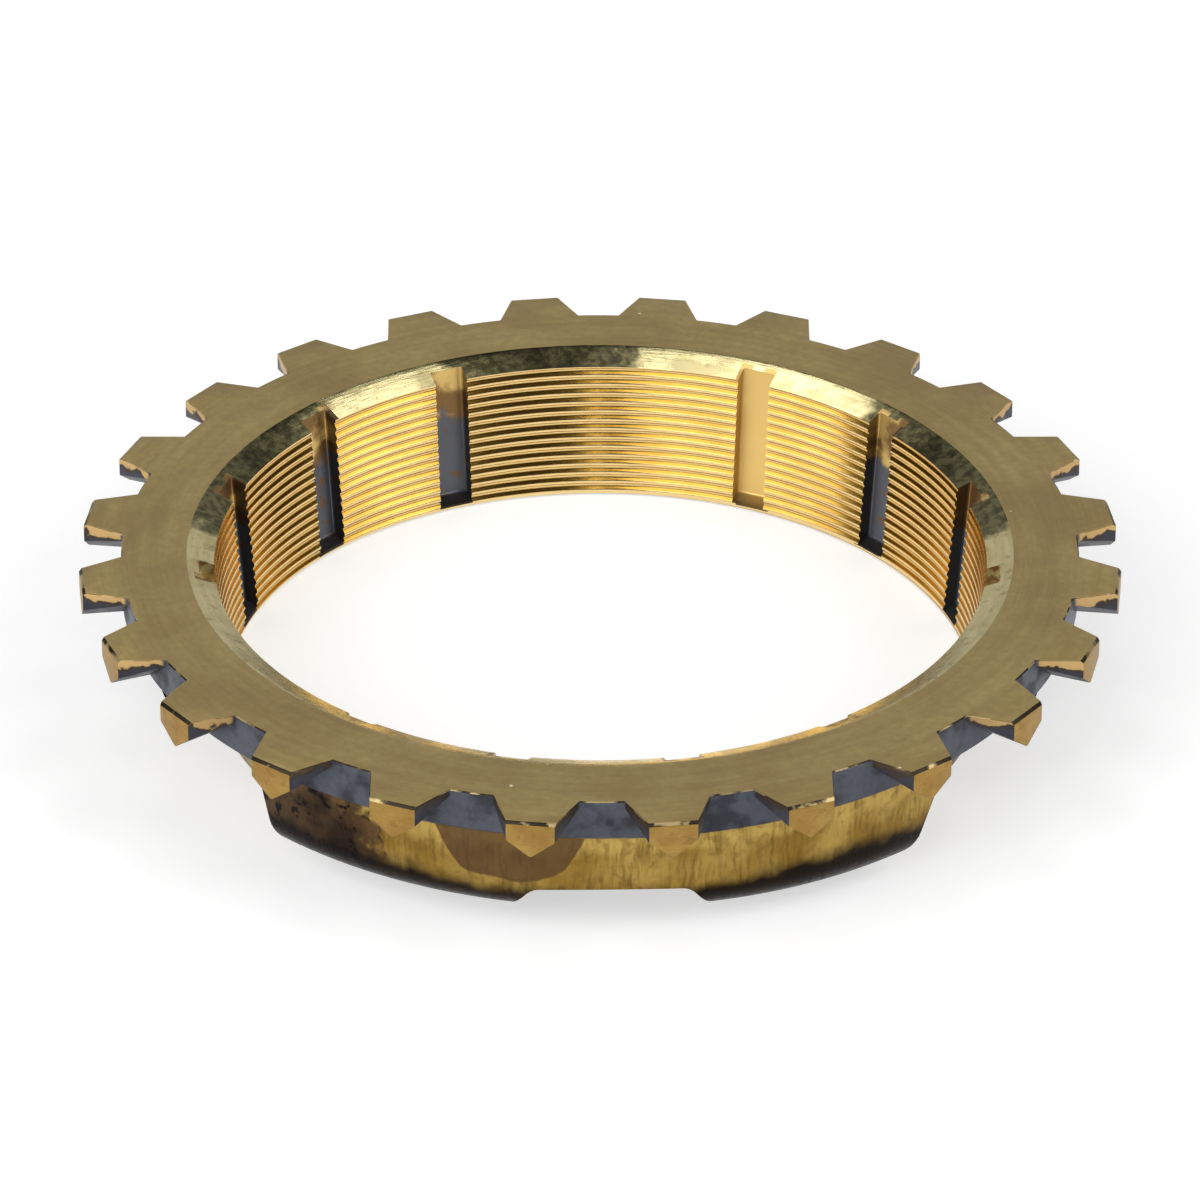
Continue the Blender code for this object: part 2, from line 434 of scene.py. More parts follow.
@dataclass
class TurnedBody:
    """The flange and the thin collar, turned outside, and still solid at the bore."""

    sizes: RingSizes
    steps: int = 192
    blank_radius: float = 41.0
    flange_edge: float = 0.14
    flange_under_edge: float = 0.3
    inner_corner: float = 0.5
    collar_chamfer: float = 0.6

    def build(self) -> bpy.types.Object:
        """Draw the outline and spin it.

        Returns:
            The turned blank.
        """
        s = self.sizes
        chamfer_depth = s.height - self.collar_chamfer
        low_radius = s.collar_radius(chamfer_depth)
        under = s.flange_thickness
        corner = self.inner_corner
        outline = [
            (self.blank_radius, s.level(0.0)),
            (s.root_radius - self.flange_edge, s.level(0.0)),
            (s.root_radius - self.flange_edge * 0.3, s.level(self.flange_edge * 0.3)),
            (s.root_radius, s.level(self.flange_edge)),
            (s.root_radius, s.level(under - self.flange_under_edge)),
            (s.root_radius - self.flange_under_edge, s.level(under)),
            (s.collar_radius(under) + corner, s.level(under)),
            (s.collar_radius(under + corner), s.level(under + corner)),
            (low_radius, s.level(chamfer_depth)),
            (low_radius - self.collar_chamfer, 0.0),
            (self.blank_radius, 0.0),
        ]
        body = draw_outline("turned_body", outline, closed=True)
        spin_outline(body, self.steps, 180.0 / self.steps, 360.0)
        close_mesh(body)
        return body


@dataclass
class DogTeeth:
    """The teeth round the flange: tapered towards the tip, with a pointed underside."""

    sizes: RingSizes
    count: int = 24
    root_width: float = 9.4
    tip_width: float = 5.45
    ridge_depth: float = 4.55
    chamfer_angle: float = 38.0
    edge: float = 0.14
    ridge_edge: float = 0.3
    tip_edge: float = 0.34

    def directions(self) -> list[float]:
        """Directions of the teeth's middles, with a space between two teeth at the back."""
        return [BACK + (index + 0.5) * 360.0 / self.count for index in range(self.count)]

    def build(self) -> bpy.types.Object:
        """Shape one tooth on the X axis and copy it round the ring.

        Returns:
            All the teeth as one object.
        """
        s = self.sizes
        root = s.root_radius - s.sink
        taper = (self.root_width - self.tip_width) / 2 / (s.tip_radius - s.root_radius)
        half_tip = self.tip_width / 2
        half_root = half_tip + taper * (s.tip_radius - root)
        tooth = add_block(
            "dog_teeth",
            (root, -half_root, s.level(self.ridge_depth + s.sink)),
            (s.tip_radius, half_root, s.level(0.0)),
        )
        start_editing(tooth)
        pick_vertices(tooth, lambda place: place.x > s.root_radius)
        narrowing = (1.0, half_tip / half_root, 1.0)
        bpy.ops.transform.resize(value=narrowing, center_override=(0.0, 0.0, 0.0))
        stop_editing()
        slope = math.radians(self.chamfer_angle)
        for side in (-1.0, 1.0):
            normal = (0.0, side * math.sin(slope), -math.cos(slope))
            slice_off(tooth, (s.tip_radius, 0.0, s.level(self.ridge_depth)), normal)
        ridge = s.level(self.ridge_depth)
        soften_edges(tooth, lambda a, b: max(a.z, b.z) < ridge + 0.01, self.ridge_edge, 3)
        soften_edges(
            tooth,
            lambda a, b: min(a.x, b.x) > s.tip_radius - 0.01 and min(a.z, b.z) > s.height - 0.01,
            self.tip_edge,
            1,
        )
        soften_edges(tooth, lambda a, b: max(a.x, b.x) > root + 0.01, self.edge, 2)
        return turned_copies(tooth, self.directions())


@dataclass
class KeyPads:
    """The thick pads on the collar, with rounded lower edges, slanted ends and a notch each.

    The front pad stands out further than the two at the sides, and leans a little.
    """

    sizes: RingSizes
    setback: float = 0.3
    draft: float = 0.4
    side_setback: float = 3.6
    straight_depth: float = 12.3
    edge_radius: float = 3.6
    edge_steps: int = 8
    heel_depth: float = 17.9
    heel_width: float = 1.3
    collar_sink: float = 0.7
    steps: int = 60
    side_ends: tuple[tuple[float, float], ...] = ((15.7, 0.0), (15.7, 0.0))
    front_ends: tuple[tuple[float, float], ...] = ((14.3, 13.0), (15.2, 20.0))
    end_edge: float = 0.35
    front_lean: float = 0.7
    notch_depth: float = 11.95
    notch_width: float = 17.3
    notch_side_slope: float = 35.0
    notch_ceiling_slope: float = 28.5
    notch_turn: float = 1.1
    notch_round: float = 0.7

    def outline(self, top_radius: float, low_radius: float) -> list[tuple[float, float]]:
        """Work out a pad's section.

        Args:
            top_radius: Outer radius at the flange.
            low_radius: Outer radius where the rounded lower edge starts.

        Returns:
            Radius and height of each point of the section.
        """
        s = self.sizes
        joint = s.flange_thickness - s.sink
        points = [(top_radius, s.level(joint)), (top_radius, s.level(s.flange_thickness))]
        for step in range(self.edge_steps + 1):
            angle = math.pi / 2 * step / self.edge_steps
            radius = low_radius - self.edge_radius * (1.0 - math.cos(angle))
            depth = self.straight_depth + self.edge_radius * math.sin(angle)
            points.append((radius, s.level(depth)))
        heel = s.collar_radius(self.heel_depth)
        points.append((heel + self.heel_width, s.level(self.heel_depth)))
        points.append((heel - self.collar_sink, s.level(self.heel_depth)))
        points.append((s.collar_radius(joint) - self.collar_sink, s.level(joint)))
        return points

    def build_notch(self) -> bpy.types.Object:
        """Shape the block that cuts the notch, with sloping sides and a sloping ceiling.

        Returns:
            The block, on the X axis.
        """
        s = self.sizes
        low_radius = s.root_radius - self.setback - self.draft
        inner = s.collar_radius(s.height)
        outer = s.root_radius - self.setback + s.sink
        spread = math.tan(math.radians(self.notch_side_slope))
        half = self.notch_width / 2
        top = s.level(self.notch_depth)
        base = -s.sink
        notch = add_block("notch", (inner, -half, base), (outer, half, top))
        start_editing(notch)
        pick_vertices(notch, lambda place: place.z < 0.0)
        wider = (half + (top - base) * spread) / half
        bpy.ops.transform.resize(value=(1.0, wider, 1.0), center_override=(0.0, 0.0, 0.0))
        stop_editing()
        fall = math.tan(math.radians(self.notch_ceiling_slope))
        for radius in (inner, outer):
            drop = (low_radius - radius) * fall
            for side in (-1.0, 1.0):
                move_vertices(
                    notch,
                    lambda p: p.z > 0.0 and abs(p.x - radius) < 0.01 and p.y * side > 0.0,
                    (0.0, side * drop * spread, -drop),
                )
        soften_edges(
            notch,
            lambda a, b: min(a.z, b.z) > 0.0 and abs(a.x - b.x) > 1.0,
            self.notch_round,
            4,
        )
        return notch

    def build_one(
        self, top_radius: float, low_radius: float, ends: tuple[tuple[float, float], ...]
    ) -> bpy.types.Object:
        """Make one pad on the X axis.

        Args:
            top_radius: Outer radius at the flange.
            low_radius: Outer radius where the rounded lower edge starts.
            ends: For each end, clockwise one first, how far it is from the middle of its key
                slot at the flange, and how many degrees it slants away from it below.

        Returns:
            The pad.
        """
        s = self.sizes
        half_sweep = 180.0 / s.pad_count
        pad = draw_outline("key_pad", self.outline(top_radius, low_radius), closed=True)
        spin_outline(pad, self.steps, -half_sweep, 2 * half_sweep)
        self.close_ends(pad)
        for side, (distance, slant) in zip((-1.0, 1.0), ends):
            slope = math.radians(slant)
            toward_slot = math.radians(side * half_sweep)
            across = Vector((-math.sin(toward_slot), math.cos(toward_slot), 0.0)) * side
            point = across * -distance
            point.z = s.level(s.flange_thickness)
            normal = across * math.cos(slope)
            normal.z = -math.sin(slope)
            slice_off(pad, tuple(point), tuple(normal))
        soften_edges(pad, lambda a, b: self.is_end_edge(a, b, ends), self.end_edge, 3)
        return pad

    def close_ends(self, pad: bpy.types.Object) -> None:
        """Make the swept section one closed body.

        Args:
            pad: The swept pad.
        """
        close_mesh(pad)
        start_editing(pad)
        bpy.ops.mesh.select_mode(type="EDGE")
        bpy.ops.mesh.select_all(action="DESELECT")
        bpy.ops.mesh.select_non_manifold(extend=False)
        bpy.ops.mesh.edge_face_add()
        stop_editing()
        close_mesh(pad)

    def is_end_edge(
        self, a: Vector, b: Vector, ends: tuple[tuple[float, float], ...]
    ) -> bool:
        """Tell whether an edge runs round a pad's end, outside the collar and below the flange.

        Args:
            a: One end of the edge.
            b: The other end of the edge.
            ends: The distance and slant of the pad's two ends.

        Returns:
            Whether it does.
        """
        s = self.sizes
        half_sweep = math.radians(180.0 / s.pad_count)
        for place in (a, b):
            distance, slant = ends[int(place.y > 0.0)]
            side = math.copysign(half_sweep, place.y)
            across = abs(-place.x * math.sin(side) + place.y * math.cos(side))
            drop = s.level(s.flange_thickness) - place.z
            if abs(across - distance - drop * math.tan(math.radians(slant))) > 0.01:
                return False
            if math.hypot(place.x, place.y) < s.collar_radius(s.height - place.z) + 0.3:
                return False
        return min(a.z, b.z) < s.level(s.flange_thickness) + 0.01

    def build(self) -> bpy.types.Object:
        """Make all the pads and notch them.

        Returns:
            The pads as one object.
        """
        s = self.sizes
        pads = []
        for direction in s.pads:
            if math.isclose(direction % 360.0, FRONT):
                top_radius = s.root_radius - self.setback
                pad = self.build_one(top_radius, top_radius - self.draft, self.front_ends)
            else:
                radius = s.root_radius - self.side_setback
                pad = self.build_one(radius, radius, self.side_ends)
            pad.rotation_euler.z = math.radians(direction)
            settle(pad)
            if math.isclose(direction % 360.0, FRONT):
                pad.rotation_euler.y = math.radians(self.front_lean)
                settle(pad)
            pads.append(pad)
        joined = join_pieces("key_pads", pads)
        notches = turned_copies(self.build_notch(), [pad + self.notch_turn for pad in s.pads])
        combine(joined, notches, Operation.CUT)
        return joined


@dataclass
class FrictionCone:
    """The bore: a lead-in band over a cone with a fine helical thread."""

    sizes: RingSizes
    steps: int = 192
    thread_depth: float = 0.24
    points_per_pitch: int = 14
    lead_in_round: float = 0.25
    end_chamfer: float = 0.3

    def thread_line(self) -> list[tuple[float, float]]:
        """Work out the thread's section, untapered, from above the mouth to below the end.

        Returns:
            Radius and height of each point.
        """
        s = self.sizes
        turns = math.ceil(s.height / s.pitch) + 4
        first_groove = s.groove_at_back - s.pitch / 4
        top = s.level(first_groove) + 2 * s.pitch
        points = []
        for index in range(turns * self.points_per_pitch + 1):
            turn = index / self.points_per_pitch
            wave = 0.5 + 0.5 * math.cos(math.tau * turn)
            points.append((s.mouth_radius + wave * self.thread_depth, top - turn * s.pitch))
        return points

    def build_thread(self) -> bpy.types.Object:
        """Make the threaded plug that cuts the cone.

        Returns:
            The plug, closed at both ends.
        """
        s = self.sizes
        plug = draw_outline("thread_plug", self.thread_line(), closed=False)
        take(plug)
        screw = plug.modifiers.new("thread", "SCREW")
        screw.angle = math.tau
        screw.screw_offset = -s.pitch
        screw.steps = self.steps
        screw.render_steps = self.steps
        screw.use_normal_calculate = False
        bpy.ops.object.modifier_apply(modifier=screw.name)
        self.narrow(plug)
        start_editing(plug)
        bpy.ops.mesh.select_all(action="SELECT")
        bpy.ops.mesh.remove_doubles(threshold=0.002)
        for depth, up in ((s.lead_in_depth * 0.5, 1.0), (s.height + s.sink, -1.0)):
            bpy.ops.mesh.select_all(action="SELECT")
            bpy.ops.mesh.bisect(
                plane_co=(0.0, 0.0, s.level(depth)),
                plane_no=(0.0, 0.0, up),
                clear_outer=True,
                use_fill=True,
            )
        stop_editing()
        close_mesh(plug)
        return plug

    def narrow(self, plug: bpy.types.Object) -> None:
        """Taper the plug towards the collar's end, with its size kept at the cone's mouth.

        Args:
            plug: The untapered plug.
        """
        s = self.sizes
        for vertex in plug.data.vertices:
            depth = s.height - vertex.co.z
            share = s.cone_radius(depth) / s.mouth_radius
            vertex.co.x *= share
            vertex.co.y *= share

    def build_flare(self) -> bpy.types.Object:
        """Make the plug that cuts the lead-in band, with its upper edge rounded over.

        Returns:
            The plug.
        """
        s = self.sizes
        slope = (s.lead_in_radius - s.mouth_radius) / s.lead_in_depth
        soft = self.lead_in_round
        low = s.lead_in_depth + 1.0
        outline = [
            (0.0, s.level(-1.0)),
            (s.lead_in_radius + soft * 1.4, s.level(-1.0)),
            (s.lead_in_radius + soft * 1.4, s.level(0.0)),
            (s.lead_in_radius + soft * 0.5, s.level(soft * 0.06)),
            (s.lead_in_radius - soft * 0.3, s.level(soft * 0.3)),
            (s.lead_in_radius - soft * slope, s.level(soft)),
            (s.mouth_radius - slope, s.level(low)),
            (0.0, s.level(low)),
        ]
        return self.spun_plug("flare_plug", outline)

    def build_end_chamfer(self) -> bpy.types.Object:
        """Make the plug that chamfers the bore's lower edge.

        Returns:
            The plug.
        """
        s = self.sizes
        radius = s.cone_radius(s.height)
        soft = self.end_chamfer
        outline = [
            (0.0, 2 * soft),
            (radius - soft, 2 * soft),
            (radius + 2 * soft, -soft),
            (0.0, -soft),
        ]
        return self.spun_plug("end_plug", outline)

    def spun_plug(self, name: str, outline: list[tuple[float, float]]) -> bpy.types.Object:
        """Spin an outline that starts and ends on the axis.

        Args:
            name: The plug's name.
            outline: Radius and height of each point.

        Returns:
            The closed plug.
        """
        plug = draw_outline(name, outline, closed=False)
        spin_outline(plug, self.steps, 180.0 / self.steps, 360.0)
        close_mesh(plug)
        return plug

    def cut(self, body: bpy.types.Object) -> None:
        """Cut the whole bore into the blank.

        Args:
            body: The ring, still solid at the bore.
        """
        combine(body, self.build_thread(), Operation.CUT)
        combine(body, self.build_flare(), Operation.CUT)
        combine(body, self.build_end_chamfer(), Operation.CUT)


@dataclass
class OilSlots:
    """Slots along the cone, which run out over its lower end.

    The two by the slanted ends of the front pad are shallower, because the collar is thin there.
    """

    sizes: RingSizes
    shallow_depth: float = 1.0
    shallow_places: tuple[float, ...] = (FRONT - 36.0, FRONT + 36.0)
    end_slope: float = 24.0
    corner: float = 0.25
    reach: float = 4.0

    def is_shallow(self, direction: float) -> bool:
        """Tell whether the slot in a direction is one of the shallow ones."""
        turn = direction % 360.0
        return any(abs(turn - place) < 2.0 for place in self.shallow_places)

    def build(self) -> bpy.types.Object:
        """Make the blocks for all the slots.

        Returns:
            All the blocks as one object.
        """
        shallow = [turn for turn in self.sizes.oil_slots if self.is_shallow(turn)]
        deep = [turn for turn in self.sizes.oil_slots if not self.is_shallow(turn)]
        blocks = [
            turned_copies(self.build_block(self.sizes.slot_depth), deep),
            turned_copies(self.build_block(self.shallow_depth), shallow),
        ]
        return join_pieces("oil_slots", blocks)

    def build_block(self, depth: float) -> bpy.types.Object:
        """Make a block that cuts one slot, leaning with the cone.

        Args:
            depth: How deep the slot is.

        Returns:
            The block, on the X axis.
        """
        s = self.sizes
        middle = s.level(s.height / 2)
        half = s.slot_width / 2
        inward = depth + self.reach
        slot = add_block(
            "oil_slots", (-inward, -half, s.level(s.slot_end_depth) - middle),
            (0.0, half, middle + self.reach),
        )
        fall = inward * math.tan(math.radians(self.end_slope))
        move_vertices(slot, lambda p: p.z < 0.0 and p.x < -1.0, (0.0, 0.0, -fall))
        soften_edges(slot, lambda a, b: min(a.x, b.x) > -0.01, self.corner, 3)
        slot.rotation_euler.y = math.radians(s.cone_angle)
        slot.location = (s.cone_radius(s.height / 2) + depth, 0.0, middle)
        settle(slot)
        return slot


# ---------------------------------------------------------------- finishes


class NodeBench:
    """A node tree, with short ways to add its nodes and wire them."""

    def __init__(self, tree: bpy.types.NodeTree) -> None:
        """Work on a tree.

        Args:
            tree: The material's or the group's node tree.
        """
        self.tree = tree

    def add(self, kind: str, **settings: object) -> bpy.types.Node:
        """Add a node and set its options.

        Args:
            kind: The node's type name.
            **settings: Options of the node.

        Returns:
            The node.
        """
        node = self.tree.nodes.new(kind)
        for key, value in settings.items():
            setattr(node, key, value)
        return node

    def feed(self, socket: bpy.types.NodeSocket, value: Input) -> None:
        """Link a socket to another one, or set its value.

        Args:
            socket: The socket to feed.
            value: A socket, a number, a vector or a colour.
        """
        if isinstance(value, bpy.types.NodeSocket):
            self.tree.links.new(value, socket)
        elif socket.type == "RGBA":
            socket.default_value = (*value, 1.0)
        else:
            socket.default_value = value

    def math(self, operation: str, *values: Input) -> bpy.types.NodeSocket:
        """Work out a number from one or more others."""
        node = self.add("ShaderNodeMath", operation=operation)
        for socket, value in zip(node.inputs, values):
            self.feed(socket, value)
        return node.outputs[0]

    def blend(self, value: Input, low: float, high: float) -> bpy.types.NodeSocket:
        """Carry a share of 0 to 1 over to the range from low to high."""
        return self.math("MULTIPLY_ADD", value, high - low, low)

    def step(self, value: Input, start: Input, end: Input) -> bpy.types.NodeSocket:
        """Rise smoothly from 0 to 1 as a value goes from start to end."""
        node = self.add("ShaderNodeMapRange", interpolation_type="SMOOTHSTEP")
        self.feed(node.inputs["Value"], value)
        self.feed(node.inputs["From Min"], start)
        self.feed(node.inputs["From Max"], end)
        return node.outputs["Result"]

    def between(
        self, value: Input, low: float, high: float, soft: float
    ) -> bpy.types.NodeSocket:
        """Give 1 where a value lies from low to high, and fall to 0 outside over soft."""
        rise = self.step(value, low - soft, low)
        fall = self.step(value, high + soft, high)
        return self.math("MULTIPLY", rise, fall)

    def both(self, first: Input, second: Input) -> bpy.types.NodeSocket:
        """Multiply two masks."""
        return self.math("MULTIPLY", first, second)

    def either(self, first: Input, second: Input) -> bpy.types.NodeSocket:
        """Take the stronger one of two masks."""
        return self.math("MAXIMUM", first, second)

    def mix(self, share: Input, low: Input, high: Input) -> bpy.types.NodeSocket:
        """Mix two colours.

        Args:
            share: How much of the second colour shows.
            low: The first colour.
            high: The second colour.

        Returns:
            The mixed colour.
        """
        node = self.add("ShaderNodeMix", data_type="RGBA")
        sockets = [socket for socket in node.inputs if socket.type == "RGBA"]
        self.feed(node.inputs[0], share)
        self.feed(sockets[0], low)
        self.feed(sockets[1], high)
        return next(socket for socket in node.outputs if socket.type == "RGBA")

    def noise(self, place: Input, scale: Input, detail: float = 3.0) -> bpy.types.NodeSocket:
        """Make a cloudy pattern with values from 0 to 1."""
        node = self.add("ShaderNodeTexNoise")
        self.feed(node.inputs["Vector"], place)
        self.feed(node.inputs["Scale"], scale)
        node.inputs["Detail"].default_value = detail
        return node.outputs[0]

    def join(self, x: Input, y: Input, z: Input) -> bpy.types.NodeSocket:
        """Put three numbers together as a vector."""
        node = self.add("ShaderNodeCombineXYZ")
        for socket, value in zip(node.inputs, (x, y, z)):
            self.feed(socket, value)
        return node.outputs[0]

    def use(self, group: bpy.types.NodeTree, **values: Input) -> dict[str, bpy.types.NodeSocket]:
        """Place a shared node group.

        Args:
            group: The group.
            **values: What its inputs get, by name.

        Returns:
            Its outputs, by name.
        """
        node = self.add("ShaderNodeGroup", node_tree=group)
        for name, value in values.items():
            self.feed(node.inputs[name], value)
        return {socket.name: socket for socket in node.outputs}


@dataclass(frozen=True)
class GroupEnds:
    """What a shared node group takes in and gives out."""

    name: str
    takes: dict[str, str]
    gives: tuple[str, ...]

    def build(self) -> tuple[NodeBench, dict[str, bpy.types.NodeSocket], bpy.types.Node]:
        """Make the empty group.

        Returns:
            The bench to fill it on, its inputs by name, and its output node.
        """
        tree = bpy.data.node_groups.new(self.name, "ShaderNodeTree")
        for name, kind in self.takes.items():
            tree.interface.new_socket(name=name, in_out="INPUT", socket_type=kind)
        for name in self.gives:
            tree.interface.new_socket(name=name, in_out="OUTPUT", socket_type="NodeSocketFloat")
        bench = NodeBench(tree)
        entry = bench.add("NodeGroupInput")
        return bench, {s.name: s for s in entry.outputs if s.name}, bench.add("NodeGroupOutput")


VECTOR = "NodeSocketVector"
NUMBER = "NodeSocketFloat"


@dataclass
class SharedEffects:
    """The node groups that more than one finish uses."""

    sizes: RingSizes
    place: bpy.types.NodeTree = field(init=False)
    marks: bpy.types.NodeTree = field(init=False)
    stain: bpy.types.NodeTree = field(init=False)
    specks: bpy.types.NodeTree = field(init=False)

    def __post_init__(self) -> None:
        """Build all the groups."""
        self.place = self.build_place()
        self.marks = self.build_marks()
        self.stain = self.build_stain()
        self.specks = self.build_specks()

    def build_place(self) -> bpy.types.NodeTree:
        """Tell where on the ring a point is.

        Returns:
            A group that gives the turn from the front and from the back, in degrees and
            positive to the right, and the radius and the depth in millimetres.
        """
        ends = GroupEnds("ring_place", {"Place": VECTOR}, ("Front", "Back", "Radius", "Depth"))
        bench, given, out = ends.build()
        split = bench.add("ShaderNodeSeparateXYZ")
        bench.feed(split.inputs[0], given["Place"])
        x, y, z = split.outputs
        front = bench.math("ARCTAN2", x, bench.math("MULTIPLY", y, -1.0))
        flat = bench.math("ADD", bench.math("MULTIPLY", x, x), bench.math("MULTIPLY", y, y))
        radius = bench.math("DIVIDE", bench.math("SQRT", flat), MM)
        bench.feed(out.inputs["Front"], bench.math("DEGREES", front))
        bench.feed(out.inputs["Back"], bench.math("DEGREES", bench.math("ARCTAN2", x, y)))
        bench.feed(out.inputs["Radius"], radius)
        depth = bench.math("MULTIPLY_ADD", z, -1.0 / MM, self.sizes.height)
        bench.feed(out.inputs["Depth"], depth)
        return bench.tree

    def build_marks(self) -> bpy.types.NodeTree:
        """Marks that a lathe tool leaves, which run round the ring.

        Returns:
            A group that gives the marks' strength.
        """
        takes = {"Place": VECTOR, "Fineness": NUMBER, "Shortness": NUMBER}
        bench, given, out = GroupEnds("turning_marks", takes, ("Mark",)).build()
        ring = bench.use(self.place, Place=given["Place"])
        turn = bench.math("RADIANS", ring["Front"])
        x = bench.math("MULTIPLY", bench.math("SINE", turn), given["Shortness"])
        y = bench.math("MULTIPLY", bench.math("COSINE", turn), given["Shortness"])
        across = bench.math("ADD", ring["Radius"], ring["Depth"])
        z = bench.math("MULTIPLY", across, given["Fineness"])
        mark = bench.noise(bench.join(x, y, z), 1.0)
        bench.feed(out.inputs["Mark"], bench.step(mark, 0.3, 0.7))
        return bench.tree

    def build_stain(self) -> bpy.types.NodeTree:
        """Irregular patches, such as tarnish.

        Returns:
            A group that gives the patches' strength.
        """
        takes = {"Place": VECTOR, "Size": NUMBER, "Amount": NUMBER, "Softness": NUMBER}
        bench, given, out = GroupEnds("stain", takes, ("Mask",)).build()
        scale = bench.math("DIVIDE", 1.0 / MM, given["Size"])
        cloud = bench.noise(given["Place"], scale, 5.0)
        middle = bench.math("MULTIPLY_ADD", given["Amount"], -0.44, 0.72)
        start = bench.math("SUBTRACT", middle, given["Softness"])
        end = bench.math("ADD", middle, given["Softness"])
        bench.feed(out.inputs["Mask"], bench.step(cloud, start, end))
        return bench.tree

    def build_specks(self) -> bpy.types.NodeTree:
        """Small scattered nicks and specks.

        Returns:
            A group that gives the specks' strength.
        """
        takes = {"Place": VECTOR, "Spacing": NUMBER, "Share": NUMBER}
        bench, given, out = GroupEnds("specks", takes, ("Mask",)).build()
        cells = bench.add("ShaderNodeTexVoronoi")
        bench.feed(cells.inputs["Vector"], given["Place"])
        bench.feed(cells.inputs["Scale"], bench.math("DIVIDE", 1.0 / MM, given["Spacing"]))
        split = bench.add("ShaderNodeSeparateColor")
        bench.feed(split.inputs[0], cells.outputs["Color"])
        chosen = bench.math("LESS_THAN", split.outputs[0], given["Share"])
        spot = bench.step(cells.outputs["Distance"], 0.28, 0.12)
        bench.feed(out.inputs["Mask"], bench.both(chosen, spot))
        return bench.tree


class Brush(NodeBench):
    """A material's node tree, with short ways to lay the shared effects on it."""

    def __init__(self, tree: bpy.types.NodeTree, effects: SharedEffects) -> None:
        """Work on a material.

        Args:
            tree: The material's node tree.
            effects: The shared node groups.
        """
        super().__init__(tree)
        self.effects = effects
        self.place = self.add("ShaderNodeTexCoord").outputs["Object"]

    def ring(self) -> dict[str, bpy.types.NodeSocket]:
        """Tell where on the ring a point is: Front, Back, Radius and Depth."""
        return self.use(self.effects.place, Place=self.place)

    def marks(self, fineness: float, shortness: float) -> bpy.types.NodeSocket:
        """Marks of turning: how many to the millimetre, and how short they are."""
        values = {"Fineness": fineness, "Shortness": shortness}
        return self.use(self.effects.marks, Place=self.place, **values)["Mark"]

    def stain(self, size: float, amount: float, softness: float) -> bpy.types.NodeSocket:
        """Patches: how large in millimetres, how many from 0 to 1, and how soft at the edge."""
        values = {"Size": size, "Amount": amount, "Softness": softness}
        return self.use(self.effects.stain, Place=self.place, **values)["Mask"]

    def specks(self, spacing: float, share: float) -> bpy.types.NodeSocket:
        """Specks: how far apart in millimetres, and how many of them show."""
        values = {"Spacing": spacing, "Share": share}
        return self.use(self.effects.specks, Place=self.place, **values)["Mask"]

    def wander(self, fineness: float, detail: float) -> bpy.types.NodeSocket:
        """A slow cloudy wander, with its fineness given for each millimetre."""
        return self.noise(self.place, fineness / MM, detail)

    def cover(
        self, colour: Input, mask: Input, share: float, paint: Input
    ) -> bpy.types.NodeSocket:
        """Lay a second colour over the first, as far as a mask and a share say."""
        return self.mix(self.both(mask, share), colour, paint)


class Coat(NamedTuple):
    """What a finish paints: the relief is the depth, in millimetres, of the height."""

    colour: Input
    roughness: Input
    height: Input
    relief: float


@dataclass(frozen=True)
class Finish:
    """A metal finish. Each kind paints its own colours and roughness."""

    sizes: RingSizes
    name: str = "brass"
    metallic: float = 1.0
    specular: float = 0.5

    def build(self, effects: SharedEffects) -> bpy.types.Material:
        """Make the material.

        Args:
            effects: The shared node groups.

        Returns:
            The material.
        """
        material = bpy.data.materials.new(self.name)
        material.use_nodes = True
        brush = Brush(material.node_tree, effects)
        shader = material.node_tree.nodes["Principled BSDF"]
        shader.inputs["Metallic"].default_value = self.metallic
        shader.inputs["Specular IOR Level"].default_value = self.specular
        coat = self.paint(brush)
        brush.feed(shader.inputs["Base Color"], coat.colour)
        brush.feed(shader.inputs["Roughness"], coat.roughness)
        bump = brush.add("ShaderNodeBump")
        bump.inputs["Distance"].default_value = coat.relief * MM
        brush.feed(bump.inputs["Height"], coat.height)
        brush.feed(shader.inputs["Normal"], bump.outputs["Normal"])
        return material

    def paint(self, brush: Brush) -> Coat:
        """Paint the finish.

        Args:
            brush: Where the material's nodes are added.

        Returns:
            The coat.
        """
        raise NotImplementedError


@dataclass(frozen=True)
class TurnedFaceFinish(Finish):
    """The dull turned face, with faint marks round it, cloudy tarnish and a few bright specks."""

    name: str = "turned_face"
    metallic: float = 0.7
    dull: Colour = (0.42, 0.31, 0.115)
    light: Colour = (0.51, 0.39, 0.15)
    tarnish: Colour = (0.285, 0.20, 0.08)
    bright: Colour = (1.0, 0.88, 0.62)

    def paint(self, brush: Brush) -> Coat:
        """Paint the finish, as Finish.paint says."""
        broad = brush.marks(0.9, 2.5)
        fine = brush.marks(4.0, 9.0)
        cloud = brush.stain(11.0, 0.45, 0.2)
        grain = brush.stain(0.9, 0.5, 0.25)
        specks = brush.specks(1.0, 0.006)
        colour = brush.mix(broad, self.dull, self.light)
        colour = brush.cover(colour, cloud, 0.7, self.tarnish)
        colour = brush.cover(colour, fine, 0.25, self.light)
        colour = brush.cover(colour, grain, 0.35, self.tarnish)
        colour = brush.mix(specks, colour, self.bright)
        roughness = brush.blend(cloud, 0.36, 0.48)
        return Coat(colour, roughness, brush.math("ADD", fine, grain), 0.012)


